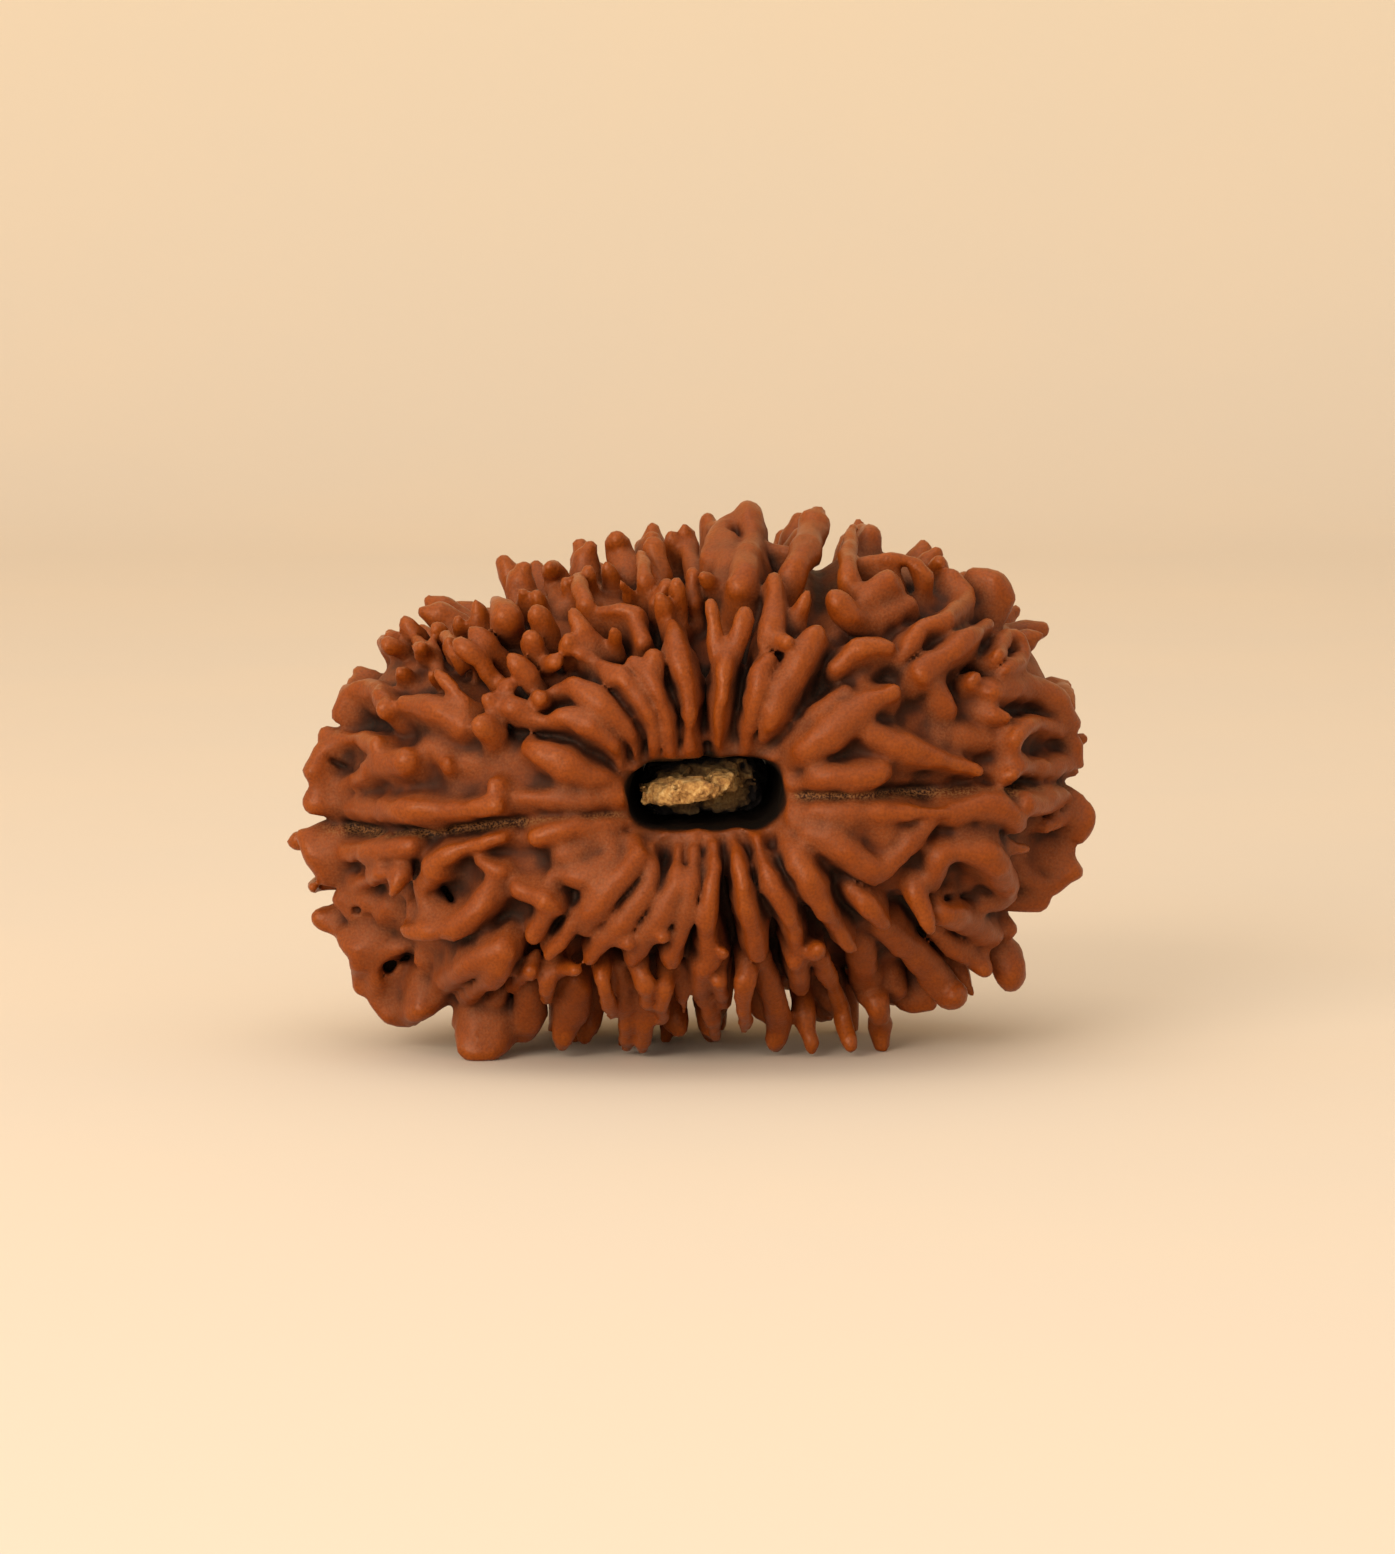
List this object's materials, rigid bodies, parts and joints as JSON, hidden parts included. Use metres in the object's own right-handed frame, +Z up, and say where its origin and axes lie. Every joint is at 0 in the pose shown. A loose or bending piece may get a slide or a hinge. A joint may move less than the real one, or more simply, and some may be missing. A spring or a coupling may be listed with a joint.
{
  "type": "rudraksha bead",
  "caption": "Dried oval fruit stone with radiating gills and thorns and a slot-shaped channel from end to end.",
  "frame": {"origin": "centre of the box on the surface that the bead rests on", "axes": "+X along the long axis of the oval, +Y along the channel away from its wide mouth, +Z up"},
  "size_m": [0.0378, 0.0224, 0.0258],
  "materials": {
    "stone": "waxy satin",
    "pith": "matt, crumbly"
  },
  "bodies": {
    "root": {"bead": "stone", "pith": "pith"}
  },
  "joints": []
}
